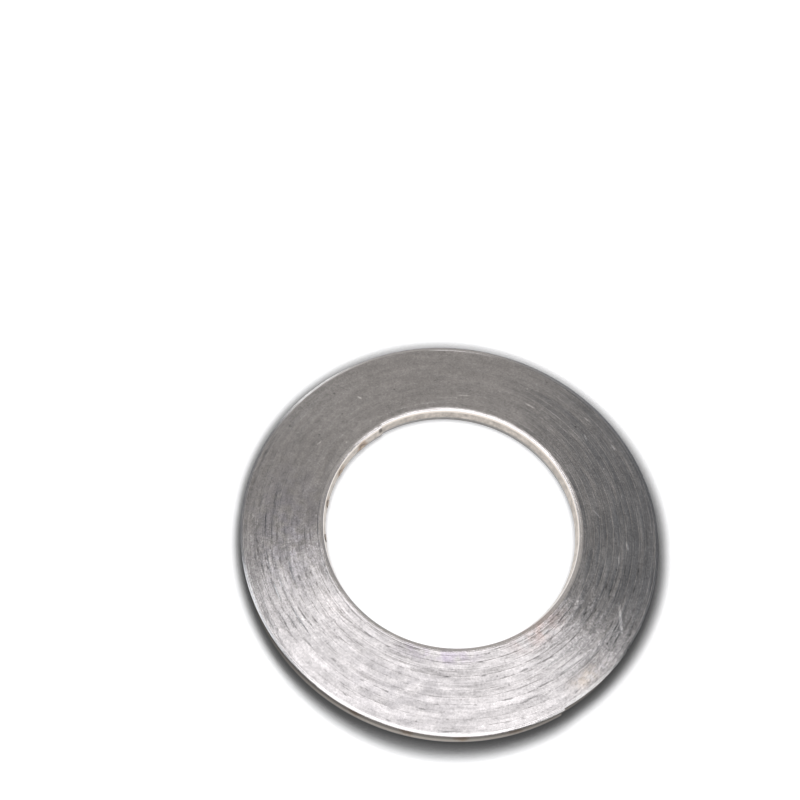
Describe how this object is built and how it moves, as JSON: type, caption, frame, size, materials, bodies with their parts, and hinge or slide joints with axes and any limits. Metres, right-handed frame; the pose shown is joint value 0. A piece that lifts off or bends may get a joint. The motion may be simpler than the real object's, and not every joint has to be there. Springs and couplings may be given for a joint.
{
  "type": "spiral wound gasket",
  "caption": "Basic spiral wound gasket: a flat ring wound from V-profile steel strip with graphite filler, for a recessed pipe flange.",
  "frame": {"origin": "centre of the bore, midway between the two sealing faces", "axes": "+Z along the bore axis, out of the upper sealing face; the steel strip starts at the bore 128.5 degrees anticlockwise from +X and winds anticlockwise, seen from +Z, to its end at the rim"},
  "size_m": [0.0507, 0.0508, 0.0024],
  "materials": {
    "steel_strip": "bright slit edges and satin sides",
    "graphite_filler": "pressed and burnished graphite, dark grey with a metallic sheen"
  },
  "bodies": {
    "root": {"winding": "steel_strip"}
  },
  "joints": []
}
